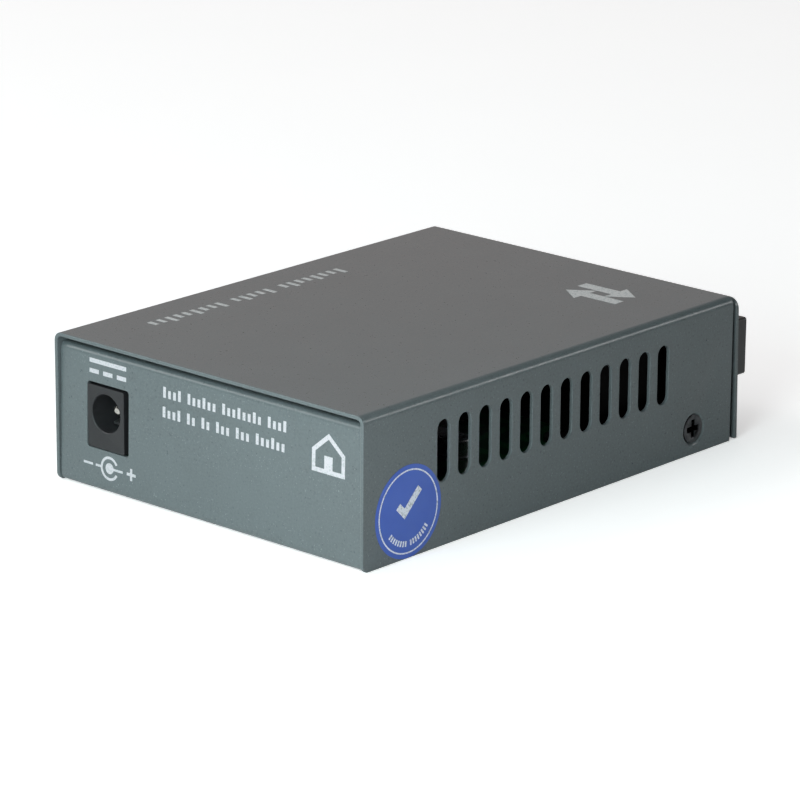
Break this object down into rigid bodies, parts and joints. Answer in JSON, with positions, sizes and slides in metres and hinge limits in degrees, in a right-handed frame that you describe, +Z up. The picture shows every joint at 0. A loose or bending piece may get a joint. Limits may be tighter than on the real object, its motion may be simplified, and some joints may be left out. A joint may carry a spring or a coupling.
{
  "type": "fibre media converter",
  "caption": "Compact network media converter: folded steel case with side vents, DC inlet at the rear, network jack, duplex fibre port and status lamps in front.",
  "frame": {"origin": "bottom centre of the whole outline, on the surface it stands on", "axes": "+Z up, +Y towards the network and fibre ports, -Y towards the DC inlet, +X towards the side with the round label"},
  "size_m": [0.0705, 0.1018, 0.0262],
  "materials": {
    "cover_paint": "fine-textured satin grey paint on folded steel",
    "case_paint": "fine-textured satin grey-green paint on folded steel",
    "black_steel": "black plated steel",
    "label_film": "printed blue film",
    "board": "green solder mask on glass-fibre board",
    "plated_steel": "bright plated sheet steel",
    "black_plastic": "moulded black plastic",
    "bright_contact": "nickel-plated pin",
    "tinned_metal": "tin-plated leads",
    "gold_contact": "gold-plated spring wire",
    "grey_plastic": "moulded grey plastic",
    "ceramic": "fired ceramic",
    "lamp_resin": "tinted clear resin, unlit",
    "chip_resin": "moulded black resin",
    "bright_can": "drawn can",
    "ferrite": "sintered ferrite",
    "copper": "enamelled copper wire"
  },
  "bodies": {
    "root": {"top_cover": "cover_paint", "base_chassis": "case_paint", "cover_screws": "black_steel", "side_label": "label_film", "circuit_board": "board", "board_standoffs": "plated_steel", "board_screws": "plated_steel", "dc_inlet_housing": "black_plastic", "dc_inlet_pin": "bright_contact", "dc_inlet_contacts": "tinned_metal", "network_jack_shield": "plated_steel", "network_jack_insert": "black_plastic", "network_jack_contacts": "gold_contact", "fibre_module_housing": "black_plastic", "fibre_port_inserts": "grey_plastic", "fibre_port_sleeves": "ceramic", "fibre_module_pins": "tinned_metal", "lamp_holders": "black_plastic", "status_lamps": "lamp_resin", "converter_chip": "chip_resin", "converter_chip_legs": "tinned_metal", "memory_chip": "chip_resin", "memory_chip_legs": "tinned_metal", "line_transformer": "chip_resin", "line_transformer_legs": "tinned_metal", "clock_crystal": "bright_can", "voltage_regulators": "chip_resin", "protection_diode": "chip_resin", "smoothing_capacitors": "bright_can", "inductor_core": "ferrite", "inductor_winding": "copper", "ceramic_capacitors": "ceramic", "chip_resistors": "chip_resin"}
  },
  "joints": []
}
